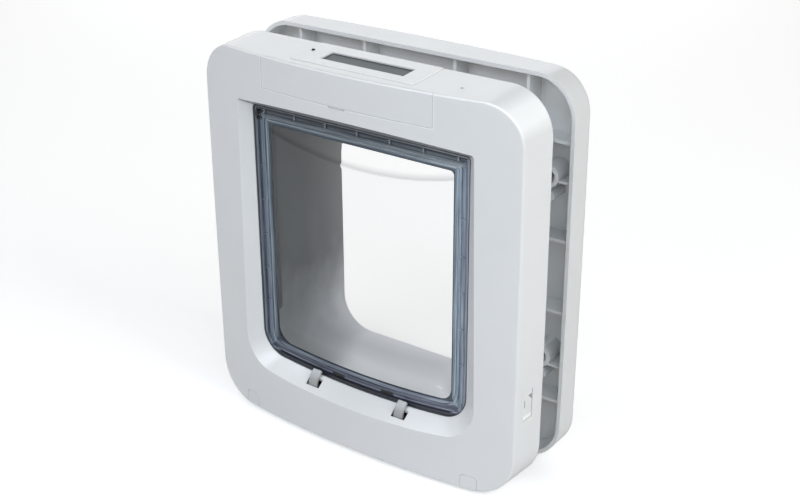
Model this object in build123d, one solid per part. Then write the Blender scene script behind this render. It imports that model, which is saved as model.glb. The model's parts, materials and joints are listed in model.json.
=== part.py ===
from build123d import *
from math import atan, cos, degrees, radians, sin, sqrt
import os

# Pet door in millimetres: X across, Y from the room to the garden, Z up.
# The origin is under the middle of the whole door, at its lowest edge.

# Outline shared by the room side unit and the garden side frame
door_width = 262.0
door_height = 285.0
side_bow = 0.7
bottom_bow = 1.4
foot_width = 112.0

# Room side unit, whose front is bowed like a slice of a tall cylinder
front_depth = 30.8
front_dome = 11.5
front_draft = 2.3
front_corner_top = 30.1
front_corner_bottom = 32.6
front_edge_radius = 1.5
wall = 2.6

# Garden side frame, gently bowed at the back
rear_depth = 21.6
rear_dome = 5.9
rear_corner_top = 28.7
rear_corner_bottom = 30.6
rear_edge_radius = 4.0
rim_wall = 2.9
rear_back_wall = 3.0

# Space for the door leaf, and the tunnel that runs through it
door_gap = 28.1
tunnel_length = 71.2
tunnel_wall = 2.2
tunnel_side = 1.5
tunnel_drop = 15.7
tunnel_radius = 26.5
sleeve_wall = 2.0

# Passage that the flap closes, by its margins inside the door's outline
side_margin = 42.0
bottom_margin = 44.5
top_margin = 42.6
sill_bow = 6.7
passage_radius = 20.5
passage_radius_top = 2.5

# Bevelled mouth, by how far its front outline reaches past the passage
mouth_side_top = 14.1
mouth_side_bottom = 23.2
mouth_rise = 9.0
mouth_fall = 9.1
mouth_radius = 28.0

# Flap
flap_side_gap = 1.0
flap_gap = 0.5
flap_thickness = 5.0
flap_setback = 3.2
rim_side = 12.0
rim_top = 12.1
rim_bottom = 11.6
window_radius = 11.0
pane_thickness = 2.4
pane_arc_radius = 137.0
pane_arc_drop = 17.3
hinge_drop = 6.0
pin_radius = 1.5
tick_side = 8.5

# Clearances
seam = 0.2
slip = 0.3
shaft_play = 0.05

# Control cover, with the buttons and their board behind it
cover_width = 138.6
cover_height = 22.8
cover_thickness = 1.6
cover_x = -1.7
notch_width = 13.2
notch_x = -5.1
tray_height = 17.0
button_radius = 3.4
button_pitch = 22.0
board_thickness = 1.6

# Display on the top of the room side unit
panel_width = 99.1
panel_front = -2.4
panel_rise = 0.7
lcd_width = 66.1
lcd_depth = 13.2
lcd_offset_x = 2.5
lcd_front = 5.7
sensor_x = -44.8
sensor_y = 16.0

# Locks in the sill: latches on a shaft, and catches on a sliding bar
latch_x = 37.9
latch_width = 8.4
latch_side_gap = 1.6
latch_radius = 10.8
latch_thickness = 2.4
latch_tip_angle = 116.0
latch_tail_angle = 200.0
lock_drop = 5.4
lock_setback = 6.6
lock_shaft_radius = 1.8
lock_shaft_half = 49.0
bracket_x = (30.2, 45.6)
gearbox_width = 24.0
catch_x = 62.0
catch_thickness = 2.4
catch_width = 12.0
bar_height = 6.0
bar_drop = 20.4
magnet_x = 21.5

# Batteries, two in each side of the room side unit
cell_radius = 13.1
cell_length = 50.0
cell_side = 20.3
cell_inset = 14.7
cell_stack_drop = 42.0

# Clamp screws through the door leaf, placed from the middle of the door
screw_side = 19.8
screw_offsets = (-60.0, 73.3)
screw_radius = 2.4
boss_radius = 8.1
peg_radius = 3.2
peg_drop = 14.2

# Bezel fastening: screws under small covers at the bottom, springy catches at the sides
tab_side = 34.4
tab_width = 12.6
tab_top_z = 14.2
tab_screw_z = 9.7
catch_window_drop = 70.0
catch_window_height = 22.0
catch_window_depth = 10.5

# Ribs across the garden side frame, and its shelves as offset and thickness
rib_x = (37.2, 93.5)
rib_setback = 3.2
shelves = ((98.0, 2.4), (70.5, 1.6), (28.8, 2.4), (-24.1, 2.4), (-65.8, 1.6), (-93.3, 2.4))
coil_length = 6.0

# Places along the depth, from the sizes above
total_depth = front_dome + front_depth + tunnel_length
front_crown_y = -total_depth / 2
front_edge_y = front_crown_y + front_dome
front_back_y = front_edge_y + front_depth
plate_front_y = front_back_y - wall
tunnel_end_y = front_back_y + tunnel_length
rear_front_y = front_back_y + door_gap
rear_back_y = rear_front_y + rear_depth
rear_inner_y = rear_back_y - rear_back_wall
rib_front_y = rear_front_y + rib_setback
flap_front_y = front_edge_y + flap_setback
flap_back_y = flap_front_y + flap_thickness
hinge_y = (flap_front_y + flap_back_y) / 2
pane_front_y = flap_front_y + 2.0
sleeve_front_y = flap_front_y - 0.4
ramp_start_y = flap_back_y + 6.0
ramp_end_y = plate_front_y - 1.7
lock_y = front_edge_y + lock_setback
catch_front_y = flap_back_y + 2.2
catch_back_y = catch_front_y + catch_thickness
cell_y = front_edge_y + cell_inset
screw_seat_y = front_edge_y + 6.0
tab_seat_y = front_edge_y + 7.0
board_front_y = front_edge_y + 1.0
board_back_y = board_front_y + board_thickness
catch_window_y = front_edge_y + 9.0

# Places across and up the door
mid_z = door_height / 2
passage_width = door_width - 2 * side_margin
sill_z = bottom_margin
lintel_z = door_height - top_margin
flap_width = passage_width - 2 * flap_side_gap
tick_pitch = (flap_width / 2 - tick_side) / 3
flap_bottom_z = sill_z + flap_gap
flap_top_z = lintel_z - flap_gap - slip
hinge_z = flap_top_z - hinge_drop
lock_z = sill_z - lock_drop
bar_z = sill_z - bar_drop
cover_low_z = door_height - front_draft - cover_height
button_z = cover_low_z + 10.0
button_x = tuple(button_pitch * (i - 1.5) for i in range(4))
tray_half = cover_width / 2 - 5.3
control_post_x = tray_half - 3.5
screw_x = door_width / 2 - screw_side
screw_z = tuple(mid_z + offset for offset in screw_offsets)
cell_x = door_width / 2 - cell_side
cell_stack_z = mid_z - cell_stack_drop
tab_x = door_width / 2 - tab_side
catch_window_z = mid_z - catch_window_drop


def at_y(y):
    """Plane across the door at depth y, facing the room."""
    return Plane(origin=(0, y, 0), x_dir=(1, 0, 0), z_dir=(0, -1, 0))


def slab(sketch, y_front, y_back, taper=0.0):
    """Block of the sketch's outline from y_front to y_back, narrower in front by the taper."""
    return extrude(at_y(y_back) * sketch, amount=y_back - y_front, taper=taper)


def block(x0, x1, y0, y1, z0, z1):
    """Rectangular block between the given limits."""
    size = Box(x1 - x0, y1 - y0, z1 - z0)
    return Pos((x0 + x1) / 2, (y0 + y1) / 2, (z0 + z1) / 2) * size


def rod_y(x, z, radius, y0, y1):
    """Round bar along the depth."""
    return Pos(x, (y0 + y1) / 2, z) * Rot(90, 0, 0) * Cylinder(radius, y1 - y0)


def rod_x(y, z, radius, x0, x1):
    """Round bar across the door."""
    return Pos((x0 + x1) / 2, y, z) * Rot(0, 90, 0) * Cylinder(radius, x1 - x0)


def both_sides(solid):
    """The solid and its mirror image across the middle of the door."""
    return solid + mirror(solid, about=Plane.YZ)


def frame_outline(radius_top, radius_bottom, inset=0.0):
    """Rounded outline of the door with bowed sides and a bowed bottom."""
    half = door_width / 2 - inset
    low = inset
    high = door_height - inset
    foot = foot_width / 2
    corner = half - side_bow
    bottom = Line((-foot, low), (foot, low))
    right_sweep = TangentArc((foot, low), (corner, low + bottom_bow), tangent=(1, 0))
    right = ThreePointArc((corner, low + bottom_bow), (half, mid_z), (corner, high))
    top = Line((corner, high), (-corner, high))
    left = ThreePointArc((-corner, high), (-half, mid_z), (-corner, low + bottom_bow))
    left_sweep = TangentArc((-foot, low), (-corner, low + bottom_bow), tangent=(-1, 0))
    face = make_face([bottom, right_sweep, right, top, left, left_sweep])
    upper = face.vertices().filter_by(lambda v: v.Y > mid_z)
    face = fillet(upper, radius_top - inset)
    lower = face.vertices().filter_by(lambda v: v.Y < mid_z and abs(v.X) > corner - 1e-3)
    return fillet(lower, radius_bottom - inset)


def arch(half_low, half_high, low, high, radius_low, radius_high, bow=0.0):
    """Upright outline with leaning sides, rounded corners and a floor that sags by the bow."""
    left, right = (-half_low, low + bow), (half_low, low + bow)
    floor = ThreePointArc(left, (0, low), right) if bow else Line(left, right)
    sides = Polyline(right, (half_high, high), (-half_high, high), left)
    face = make_face([floor, *sides.edges()])
    corners = face.vertices().sort_by(Axis.Y)
    face = fillet(corners[:2], radius_low)
    return fillet(face.vertices().group_by(Axis.Y)[-1], radius_high)


def portal(grow=0.0):
    """Outline of the passage at the flap, widened all round."""
    half = passage_width / 2 + grow
    radius_high = passage_radius_top + grow
    return arch(
        half, half, sill_z - grow, lintel_z + grow, passage_radius + grow, radius_high, sill_bow
    )


def mouth(grow=0.0):
    """Outline of the bevelled mouth just before the crown of the front face."""
    half = passage_width / 2 + grow
    return arch(
        half + mouth_side_bottom, half + mouth_side_top,
        sill_z - mouth_fall - grow, lintel_z + mouth_rise + grow,
        mouth_radius + grow, passage_radius_top + grow,
    )


def tunnel_outline(grow=0.0):
    """Outline of the tunnel, whose floor lies below the sill."""
    half = passage_width / 2 + tunnel_side + grow
    low = sill_z - tunnel_drop - grow
    radius_high = passage_radius_top + grow
    return arch(half, half, low, lintel_z + grow, tunnel_radius + grow, radius_high)


def bow_radius(sagitta, half_width):
    """Radius of an arc with the given rise over its half width."""
    return (half_width**2 + sagitta**2) / (2 * sagitta)


def sill_rise(x):
    """Rise of the bowed sill at the given place across the door."""
    radius = bow_radius(sill_bow, passage_width / 2)
    return radius - sqrt(radius**2 - x**2)


def front_bow(inset=0.0, shift=0.0):
    """Tall cylinder whose near side is the bowed front face."""
    radius = bow_radius(front_dome, door_width / 2 - front_draft)
    centre_y = front_crown_y + shift + radius
    return Pos(0, centre_y, mid_z) * Cylinder(radius - inset, 2 * door_height)


def front_block(inset=0.0, rounded=False):
    """Outer form of the room side unit, or the same form inset all round."""
    outline = frame_outline(front_corner_top, front_corner_bottom, inset)
    taper = degrees(atan(front_draft / (front_depth + front_dome / 2)))
    body = slab(outline, front_crown_y - 2, front_back_y, taper) & front_bow(inset)
    if rounded:
        body = fillet(body.faces().sort_by(Axis.Y)[0].edges(), front_edge_radius)
    return body


def rear_block(inset=0.0, rounded=False):
    """Outer form of the garden side frame, gently bowed at the back."""
    outline = frame_outline(rear_corner_top, rear_corner_bottom, inset)
    crown_y = rear_back_y + rear_dome
    radius = bow_radius(rear_dome, door_width / 2)
    bow = Pos(0, crown_y - radius, mid_z) * Cylinder(radius - inset, 2 * door_height)
    body = slab(outline, rear_front_y, crown_y) & bow
    if rounded:
        body = fillet(body.faces().sort_by(Axis.Y)[-1].edges(), rear_edge_radius)
    return body


def funnel(grow=0.0):
    """Bevelled way in, wide at the front face and as the passage at the flap."""
    wide = at_y(front_crown_y - 1.0) * mouth(grow)
    narrow = at_y(sleeve_front_y - slip) * portal(grow)
    return loft([wide, narrow], ruled=True)


def cover_zone(gap=0.0):
    """Space of the control cover in the front face, above its lower edge."""
    half = cover_width / 2 - gap
    return block(
        cover_x - half, cover_x + half, front_crown_y - 2, front_edge_y,
        cover_low_z + gap, door_height + 2,
    )


def tab_zone(gap=0.0):
    """Space of the screw cover at the bottom of the front face, right hand side."""
    half = tab_width / 2 - gap
    zone = block(
        tab_x - half, tab_x + half, front_crown_y - 2, front_edge_y, -5.0, tab_top_z - gap
    )
    return fillet(zone.edges().filter_by(Axis.Y).group_by(Axis.Z)[-1], 3.0)


def front_bezel():
    """Front moulding: bowed shell, bevelled way in, and seats for covers and display."""
    shell = front_block(rounded=True)
    bezel = shell - front_block(wall) + (funnel(sleeve_wall) & front_block(wall / 4))
    bezel -= funnel()
    bezel -= cover_zone() - front_bow(shift=cover_thickness + seam)
    window = cover_width / 2 - 6.0
    bezel -= block(
        -window, window, front_crown_y, front_edge_y, cover_low_z + 3.5, door_height - 8.0
    )
    notch = block(
        notch_x - notch_width / 2, notch_x + notch_width / 2,
        front_crown_y - 2, front_edge_y, cover_low_z - 1.3, cover_low_z + 1,
    )
    bezel -= notch - front_bow(shift=1.2)
    half = panel_width / 2 + seam
    bezel -= block(
        -half, half, front_edge_y + panel_front - seam, front_back_y + 1,
        door_height - 12, door_height + 2,
    )
    bezel -= both_sides(catch_zone())
    slot = latch_width / 2 + latch_side_gap
    slot_front = lock_y - latch_radius - latch_thickness / 2 - 0.7
    slot_back = lock_y - latch_radius + 4.0
    bezel -= both_sides(
        block(latch_x - slot, latch_x + slot, slot_front, slot_back, lock_z - 6, sill_z + 3)
    )
    bezel -= both_sides(tab_zone() - front_bow(shift=cover_thickness + seam))
    tower = rod_y(tab_x, tab_screw_z, 4.6, front_crown_y, tab_seat_y + 2.0)
    bezel += both_sides(tower & front_block(wall / 4) & front_bow(shift=cover_thickness + seam))
    bezel -= both_sides(rod_y(tab_x, tab_screw_z, 3.1, front_crown_y, tab_seat_y))
    bezel -= both_sides(rod_y(tab_x, tab_screw_z, 1.6, front_edge_y, tab_seat_y + 3.0))
    return bezel


def sleeve_ring():
    """Sleeve round the flap, with a sill, a ramp behind it and the tunnel's socket."""
    skin = sleeve_wall
    socket = tunnel_wall + seam
    outer = slab(portal(skin), sleeve_front_y, ramp_start_y)
    outer += loft(
        [at_y(ramp_start_y) * portal(skin), at_y(ramp_end_y) * tunnel_outline(skin)], ruled=True
    )
    outer += slab(tunnel_outline(socket + skin), ramp_end_y - skin, front_back_y)
    inner = slab(portal(), sleeve_front_y - 1, ramp_start_y)
    inner += loft(
        [at_y(ramp_start_y) * portal(), at_y(ramp_end_y) * tunnel_outline()], ruled=True
    )
    inner += slab(tunnel_outline(socket), ramp_end_y, front_back_y + 1)
    return outer, inner


def battery_cradle():
    """Cradle for two upright cells in the right side of the room side unit."""
    half = cell_radius + 1.0
    grip = cell_radius - 0.6
    low = cell_stack_z - 5.0
    high = cell_stack_z + 2 * cell_length + 5.0
    body = block(cell_x - half, cell_x + half, cell_y - 5.0, plate_front_y + 0.5, low, high)
    cells = Pos(cell_x, cell_y, (low + high) / 2) * Cylinder(cell_radius + seam, high - low - 6.0)
    front = block(
        cell_x - half, cell_x + half, cell_y - 6.0, cell_y, low + 3.0, high - 3.0
    )
    return body - cells - (front & block(cell_x - grip, cell_x + grip, cell_y - 6, cell_y, low, high))


def catch_zone(gap=0.0):
    """Space of the catch window in the side of the bezel, right hand side."""
    half = catch_window_height / 2 - gap
    return block(
        door_width / 2 - 8, door_width / 2 + 2,
        catch_window_y + gap, catch_window_y + catch_window_depth - gap,
        catch_window_z - half, catch_window_z + half,
    )


def side_catch():
    """Springy arm of the chassis whose head fills the bezel's side window."""
    arm_x = door_width / 2 - front_draft - wall - 2.2
    arm = block(
        arm_x - 2.2, arm_x, catch_window_y + slip, plate_front_y + 0.5,
        catch_window_z - 6.0, catch_window_z + 6.0,
    )
    head = catch_zone(1.5 * slip) & front_block(slip)
    inner = block(0, arm_x - 0.5, front_edge_y, front_back_y, 0, door_height)
    return arm + (head - inner)


def chassis():
    """Back half of the room side unit, which carries the flap, locks, cells and tunnel."""
    outline = frame_outline(front_corner_top, front_corner_bottom, wall + slip)
    body = slab(outline, plate_front_y, front_back_y)
    outer, inner = sleeve_ring()
    body += outer
    body += both_sides(battery_cradle())
    body += both_sides(side_catch())
    for z in screw_z:
        body += both_sides(rod_y(screw_x, z, 6.0, screw_seat_y, front_back_y))
    body += both_sides(rod_y(control_post_x, button_z, 3.0, board_back_y, front_back_y))
    body += both_sides(rod_y(tab_x, tab_screw_z, 3.6, tab_seat_y + 2.0 + slip, front_back_y))
    body += both_sides(
        rod_x(hinge_y, hinge_z, pin_radius + 1.4, passage_width / 2, passage_width / 2 + 4.5)
    )
    for x in bracket_x:
        body += both_sides(
            block(
                x - 1.5, x + 1.5, lock_y - 3.0, lock_y + 2.2, lock_z - 3.6,
                sill_z + sill_rise(x) - 1.0,
            )
        )
    body -= inner
    for z in screw_z:
        body -= both_sides(
            rod_y(screw_x, z, screw_radius + shaft_play, screw_seat_y - 1, front_back_y + 1)
        )
    body -= both_sides(rod_y(tab_x, tab_screw_z, 1.5, tab_seat_y + 2.0, front_back_y - 1))
    body -= rod_x(hinge_y, hinge_z, pin_radius + shaft_play, -passage_width, passage_width)
    body -= rod_x(lock_y, lock_z, lock_shaft_radius + shaft_play, -catch_x, catch_x)
    slot = catch_width / 2 + 0.5
    body -= both_sides(
        block(
            catch_x - slot, catch_x + slot, catch_front_y - slip, catch_back_y + slip,
            lock_z, sill_z + sill_bow,
        )
    )
    return body


def tunnel():
    """Tunnel from the chassis through the door leaf to the garden."""
    body = slab(tunnel_outline(tunnel_wall), ramp_end_y + 0.1, tunnel_end_y)
    return body - slab(tunnel_outline(), ramp_end_y - 1, tunnel_end_y + 1)


def rear_rib(x0, x1, z0, z1):
    """One rib of the garden side frame, from its back wall forward."""
    return block(x0, x1, rib_front_y, rear_inner_y + 1, z0, z1)


def rear_frame():
    """Garden side frame: hollow rim stiffened by ribs, with ringed screw bosses."""
    grip = tunnel_wall + slip
    cavity = frame_outline(rear_corner_top, rear_corner_bottom, rim_wall)
    body = rear_block(rounded=True) - slab(cavity, rear_front_y - 1, rear_inner_y)
    ribs = slab(tunnel_outline(grip + 2.4), rear_front_y + 0.6, rear_inner_y + 1)
    low = sill_z - tunnel_drop
    for x in rib_x:
        for side in (-1, 1):
            ribs += rear_rib(side * x - 1.2, side * x + 1.2, lintel_z, door_height)
            ribs += rear_rib(side * x - 1.2, side * x + 1.2, 0, low)
    for offset, thickness in shelves:
        z = mid_z + offset
        ribs += both_sides(
            rear_rib(passage_width / 2, door_width / 2, z - thickness / 2, z + thickness / 2)
        )
    for z in screw_z:
        ribs += both_sides(rod_y(screw_x, z, boss_radius, rear_front_y + 1.5, rear_inner_y + 1))
        ribs += both_sides(
            rod_y(screw_x + 1.5, z - peg_drop, peg_radius, rib_front_y, rear_inner_y + 1)
        )
    body += ribs & rear_block(rim_wall / 2)
    for z in screw_z:
        body -= both_sides(rod_y(screw_x, z, boss_radius - 2.9, rear_front_y, rear_front_y + 6.0))
        body -= both_sides(
            rod_y(screw_x, z, screw_radius + shaft_play, rear_front_y, rear_inner_y - 2)
        )
    return body - slab(tunnel_outline(grip), rear_front_y - 1, rear_back_y + rear_dome + 1)


def control_cover():
    """Cover over the buttons, cut from the same bowed face as the bezel."""
    cover = (front_block(rounded=True) - front_bow(shift=cover_thickness)) & cover_zone(seam)
    half = cover_width / 2 - 9.0
    rib = block(-half, half, front_crown_y, front_edge_y, cover_low_z + 4.2, cover_low_z + 5.4)
    return cover + (rib & front_bow(inset=1.0) - front_bow(shift=cover_thickness + 1.0))


def screw_cover():
    """Small cover over the bezel screw, right hand side."""
    return (front_block(rounded=True) - front_bow(shift=cover_thickness)) & tab_zone(seam)


def control_fascia():
    """Tray behind the control cover that guides the buttons."""
    low = cover_low_z + 1.5
    high = low + tray_height
    inner = tray_half - 1.5
    tray = block(-tray_half, tray_half, board_front_y - 6.0, board_front_y, low, high)
    tray -= block(-inner, inner, board_front_y - 4.6, board_front_y + 1, low + 1.5, high - 1.5)
    for x in button_x:
        tray -= rod_y(x, button_z, button_radius + slip, board_front_y - 7, board_front_y - 4)
    return tray


def button():
    """Push button with a flange that keeps it in the fascia, at the middle."""
    cap = rod_y(0, button_z, button_radius, board_front_y - 8.4, board_front_y - 3.4)
    cap = fillet(cap.faces().sort_by(Axis.Y)[0].edges(), 0.8)
    flange = rod_y(0, button_z, button_radius + 1.2, board_front_y - 4.3, board_front_y - 3.4)
    stem = rod_y(0, button_z, 1.4, board_front_y - 3.5, board_front_y - 2.4)
    return cap + flange + stem


def control_board():
    """Circuit board with a switch behind each button and the chips on its back."""
    low = cover_low_z + 1.8
    half = tray_half - 0.5
    board = block(-half, half, board_front_y, board_back_y, low, low + tray_height - 1.0)
    for x in button_x:
        board += block(x - 3, x + 3, board_front_y - 1, board_front_y, button_z - 3, button_z + 3)
    board += block(-24, -10, board_back_y, board_back_y + 1.4, low + 2, low + 13)
    board += block(6, 26, board_back_y, board_back_y + 2.0, low + 3, low + 9)
    board += block(34, 42, board_back_y, board_back_y + 5.0, low + 2, low + 12)
    return board


def display_panel():
    """Raised surround of the display, on the sloping top of the bezel."""
    half = panel_width / 2
    zone = block(
        -half, half, front_edge_y + panel_front, front_back_y, door_height - 12, door_height + 3
    )
    panel = (front_block(-panel_rise) - front_block(wall)) & zone
    rim = panel.faces().sort_by(Axis.Z)[-1].edges()
    panel = chamfer(rim, panel_rise - 0.1)
    panel -= lcd_zone(seam)
    hole = Pos(sensor_x, front_edge_y + sensor_y, door_height) * Cylinder(1.4, 14)
    return panel - hole


def lcd_zone(gap=0.0):
    """Upright space of the display window."""
    return block(
        lcd_offset_x - lcd_width / 2 - gap, lcd_offset_x + lcd_width / 2 + gap,
        front_edge_y + lcd_front - gap, front_edge_y + lcd_front + lcd_depth + gap,
        door_height - 12, door_height + 3,
    )


def display_lens():
    """Clear window over the display, a little below the surround."""
    return (front_block(0.2) - front_block(wall)) & lcd_zone()


def lcd_module():
    """Display module below the window."""
    return block(
        lcd_offset_x - lcd_width / 2 - 3.5, lcd_offset_x + lcd_width / 2 + 3.5,
        front_edge_y + lcd_front - 2.4, front_edge_y + lcd_front + lcd_depth + 2.6,
        door_height - 9.5, door_height - wall - 2.2,
    )


def light_sensor():
    """Round sensor that looks up through the surround."""
    return Pos(sensor_x, front_edge_y + sensor_y, door_height - 3.9) * Cylinder(1.2, 6.0)


def cell(low):
    """Upright round cell with its nub, right hand side."""
    can = Pos(cell_x, cell_y, low + (cell_length - 1.5) / 2) * Cylinder(
        cell_radius, cell_length - 1.5
    )
    can = fillet(can.edges(), 0.8)
    return can + Pos(cell_x, cell_y, low + cell_length - 0.75) * Cylinder(3.4, 1.5)


def battery_contacts():
    """Contact plates at the ends of both battery columns, the lower ones with a spring."""
    low = cell_stack_z - 2.0
    high = cell_stack_z + 2 * cell_length + 2.0
    plates = block(cell_x - 9, cell_x + 9, cell_y - 9, cell_y + 9, low, low + 0.7)
    plates += Pos(cell_x, cell_y, low + 1.3) * Cone(7.0, 4.5, 1.3)
    plates += block(cell_x - 9, cell_x + 9, cell_y - 9, cell_y + 9, high - 0.7, high)
    plates += Pos(cell_x, cell_y, high - 1.2) * Cylinder(4.0, 1.1)
    return both_sides(plates)


def antenna_coil():
    """Flat coil round the sleeve that reads the pet's chip."""
    inner = sleeve_wall + slip
    ring = tunnel_outline(inner + 2.2) - tunnel_outline(inner)
    coil_back_y = ramp_end_y - sleeve_wall - slip
    return slab(ring, coil_back_y - coil_length, coil_back_y)


def latch():
    """Curved latch on its hub, which hooks in front of the flap's lower rim."""
    outer = latch_radius + latch_thickness / 2
    inner = latch_radius - latch_thickness / 2
    tip = radians(latch_tip_angle)
    tail = radians(latch_tail_angle)
    middle = (tip + tail) / 2

    def spot(radius, angle):
        return (radius * cos(angle), radius * sin(angle))

    edge = ThreePointArc(spot(outer, tip), spot(outer, middle), spot(outer, tail))
    back = ThreePointArc(spot(inner, tail), spot(inner, middle), spot(inner, tip))
    ends = [Line(edge @ 1, back @ 0), Line(back @ 1, edge @ 0)]
    hook = make_face([edge, ends[0], back, ends[1]])
    spoke_angle = latch_tail_angle - 8.0
    spoke = Rot(0, 0, spoke_angle) * Pos(latch_radius / 2, 0) * Rectangle(latch_radius, 2.6)
    form = hook + spoke + Circle(lock_shaft_radius + 1.3)
    form -= Circle(lock_shaft_radius)
    plane = Plane(
        origin=(latch_x - latch_width / 2, lock_y, lock_z), x_dir=(0, 1, 0), z_dir=(1, 0, 0)
    )
    body = extrude(plane * form, amount=latch_width)
    tips = body.edges().filter_by(Axis.X).sort_by(Axis.Z)[-2:]
    return fillet(tips, 0.9)


def front_lock_shaft():
    """Steel shaft that carries the two latches."""
    return rod_x(lock_y, lock_z, lock_shaft_radius, -lock_shaft_half, lock_shaft_half)


def front_lock_motor():
    """Gearbox round the middle of the latch shaft, with its motor below."""
    half = gearbox_width / 2
    box = block(
        -half, half, lock_y - 3.4, lock_y + 2.2, lock_z - 13, sill_z - sleeve_wall - slip
    )
    can = rod_x(lock_y - 8.0, lock_z - 10.0, 4.8, -28, -6)
    foot = block(-half, 4, lock_y - 8.0, lock_y, lock_z - 14, lock_z - 6)
    body = box + foot + can
    return body - rod_x(lock_y, lock_z, lock_shaft_radius + shaft_play, -half, half)


def rear_lock_bar():
    """Sliding bar with two catches that rise behind the flap."""
    half = catch_width / 2
    bar = block(
        -catch_x - half, catch_x + half, catch_front_y, catch_back_y, bar_z, bar_z + bar_height
    )
    prong = block(
        catch_x - half, catch_x + half, catch_front_y, catch_back_y, bar_z,
        sill_z + sill_rise(catch_x - half) - seam,
    )
    prong = chamfer(prong.edges().filter_by(Axis.Y).group_by(Axis.Z)[-1], 1.5)
    return bar + both_sides(prong)


def rear_lock_motor():
    """Actuator on the chassis plate, with the lug that lifts the bar."""
    top = bar_z - 1.0
    body = block(-13, 13, catch_back_y + 0.4, plate_front_y, top - 12.0, top)
    lug = block(-4, 4, catch_front_y, catch_back_y + 1, top - 4.0, bar_z - slip)
    return body + lug


def sill_magnets():
    """Two magnets under the sill that draw the flap shut."""
    bar = block(
        magnet_x - 5.5, magnet_x + 5.5, flap_front_y, flap_back_y,
        lock_z + lock_shaft_radius + 0.3, sill_z - sleeve_wall,
    )
    return both_sides(bar)


def flap_outline(inset=0.0):
    """Outline of the flap, or a smaller one inside it."""
    half = flap_width / 2 - inset
    low = flap_bottom_z + inset
    radius = passage_radius - flap_side_gap - inset
    return arch(half, half, low, flap_top_z - inset, radius, 2.2, sill_bow)


def window_outline(grow=0.0):
    """Outline of the clear window in the flap."""
    half = flap_width / 2 - rim_side + grow
    low = flap_bottom_z + rim_bottom - grow
    high = flap_top_z - rim_top + grow
    return arch(half, half, low, high, window_radius + grow, 3.0, sill_rise(half))


def flap_frame():
    """Tinted rim of the flap: web, outer lip, two beads and a row of small ticks."""
    web_front = flap_front_y + 1.5
    web_back = flap_back_y - 0.8
    body = slab(flap_outline(), web_front, web_back)
    body += slab(flap_outline() - flap_outline(2.0), flap_front_y, flap_back_y)
    body += slab(flap_outline(6.0) - flap_outline(7.4), flap_front_y + 0.5, web_back)
    body += slab(window_outline(3.4), flap_front_y + 0.7, web_back)
    ticks = []
    for i in range(-3, 4):
        ticks.append(
            block(
                i * tick_pitch - 0.5, i * tick_pitch + 0.5, flap_front_y + 0.7, web_front + 0.5,
                flap_top_z - 6.2, flap_top_z - 1.5,
            )
        )
    for i in range(1, 6):
        z = flap_bottom_z + passage_radius + i * tick_pitch
        ticks += [
            block(
                side * (flap_width / 2 - 4.0) - 2.4, side * (flap_width / 2 - 4.0) + 2.4,
                flap_front_y + 0.7, web_front + 0.5, z - 0.5, z + 0.5,
            )
            for side in (-1, 1)
        ]
    body += ticks
    body -= slab(window_outline(), flap_front_y - 1, flap_back_y + 1)
    body -= slab(window_outline(1.7), pane_front_y, flap_back_y + 1)
    body -= both_sides(
        block(
            magnet_x - 5.5, magnet_x + 5.5, hinge_y - 1.0, flap_back_y + 1,
            flap_bottom_z + 2.6, flap_bottom_z + 6.0,
        )
    )
    boss = rod_x(hinge_y, hinge_z, flap_thickness / 2, flap_width / 2 - 9.0, flap_width / 2)
    body += both_sides(boss)
    return body - rod_x(hinge_y, hinge_z, pin_radius, -flap_width, flap_width) + rod_x(
        hinge_y, hinge_z, pin_radius + 0.2, -flap_width / 2 + 8.0, flap_width / 2 - 8.0
    )


def flap_pane():
    """Clear pane, thicker above a shallow arc."""
    pane = slab(window_outline(1.5), pane_front_y, pane_front_y + pane_thickness)
    upper = slab(window_outline(-0.4), pane_front_y - 0.7, pane_front_y + 0.1)
    centre_z = flap_top_z - rim_top - pane_arc_drop + pane_arc_radius
    inside = rod_y(0, centre_z, pane_arc_radius, flap_front_y, flap_back_y)
    return pane + (upper & inside)


def flap_magnets():
    """Two magnets in the flap's lower rim."""
    bar = block(
        magnet_x - 5.4, magnet_x + 5.4, hinge_y - 0.9, hinge_y + 0.9,
        flap_bottom_z + 2.7, flap_bottom_z + 5.9,
    )
    return both_sides(bar)


def hinge_pin():
    """Pin of the flap, right hand side."""
    return rod_x(hinge_y, hinge_z, pin_radius, flap_width / 2 - 8.0, passage_width / 2 + 4.0)


def clamp_screws():
    """Four long screws from the chassis through the door leaf to the garden side frame."""
    screws = []
    for x in (-screw_x, screw_x):
        for z in screw_z:
            head = rod_y(x, z, 4.6, screw_seat_y - 2.8, screw_seat_y)
            head -= block(x - 3.6, x + 3.6, screw_seat_y - 3, screw_seat_y - 1.7, z - 0.5, z + 0.5)
            screws.append(head + rod_y(x, z, screw_radius, screw_seat_y - 0.1, rear_inner_y - 4))
    return Compound(children=screws)


def bezel_screws():
    """Two short screws that hold the bezel's lower edge to the chassis."""
    screws = []
    for x in (-tab_x, tab_x):
        head = rod_y(x, tab_screw_z, 2.8, tab_seat_y - 2.0, tab_seat_y)
        head -= block(
            x - 2.2, x + 2.2, tab_seat_y - 2.1, tab_seat_y - 1.1,
            tab_screw_z - 0.4, tab_screw_z + 0.4,
        )
        shank = rod_y(x, tab_screw_z, 1.45, tab_seat_y - 0.1, tab_seat_y + 13.0)
        screws.append(head + shank)
    return Compound(children=screws)


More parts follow.
